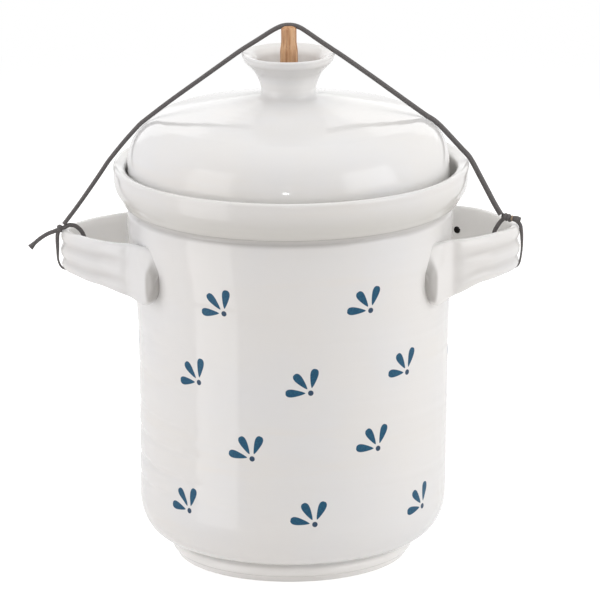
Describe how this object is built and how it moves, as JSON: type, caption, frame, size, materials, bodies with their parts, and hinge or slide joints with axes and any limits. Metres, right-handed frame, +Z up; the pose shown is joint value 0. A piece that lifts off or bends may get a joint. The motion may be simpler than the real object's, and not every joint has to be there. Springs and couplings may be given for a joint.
{
  "type": "fermenting crock",
  "caption": "Glazed stoneware crock with strap handles, water channel, domed lid with a hollow flared knob, and a wooden press rod held down by an elastic cord.",
  "frame": {"origin": "middle of the foot ring's bottom, on the table", "axes": "+Z up along the crock's axis, X through both handles, the pictured side faces -Y"},
  "size_m": [0.3041, 0.2176, 0.3333],
  "materials": {
    "glaze": "clear glossy glaze over white stoneware, blue painted sprigs on the crock",
    "wood": "plain turned wood, fine straight grain",
    "elastic": "braided grey cover over a rubber core"
  },
  "bodies": {
    "crock": {"crock_body": "glaze", "handle_left": "glaze", "handle_right": "glaze", "elastic_cord": "elastic", "cord_loop_left": "elastic", "cord_loop_right": "elastic", "cord_knot_left": "elastic", "cord_knot_right": "elastic", "cord_tail_left": "elastic", "cord_end_right": "elastic"},
    "lid": {"lid": "glaze"},
    "press": {"press_rod": "wood", "press_plate": "wood"}
  },
  "joints": [
    {"name": "lid_lift", "type": "slide", "parent": "crock", "child": "lid", "axis": [0, 0, 1], "range_m": [0, 0.06], "deforming": ["elastic_cord"]},
    {"name": "press_slide", "type": "slide", "parent": "lid", "child": "press", "axis": [0, 0, 1], "range_m": [0, 0.14], "stiffness_N_per_m": 110, "springref_m": -0.03, "deforming": ["elastic_cord"]}
  ]
}
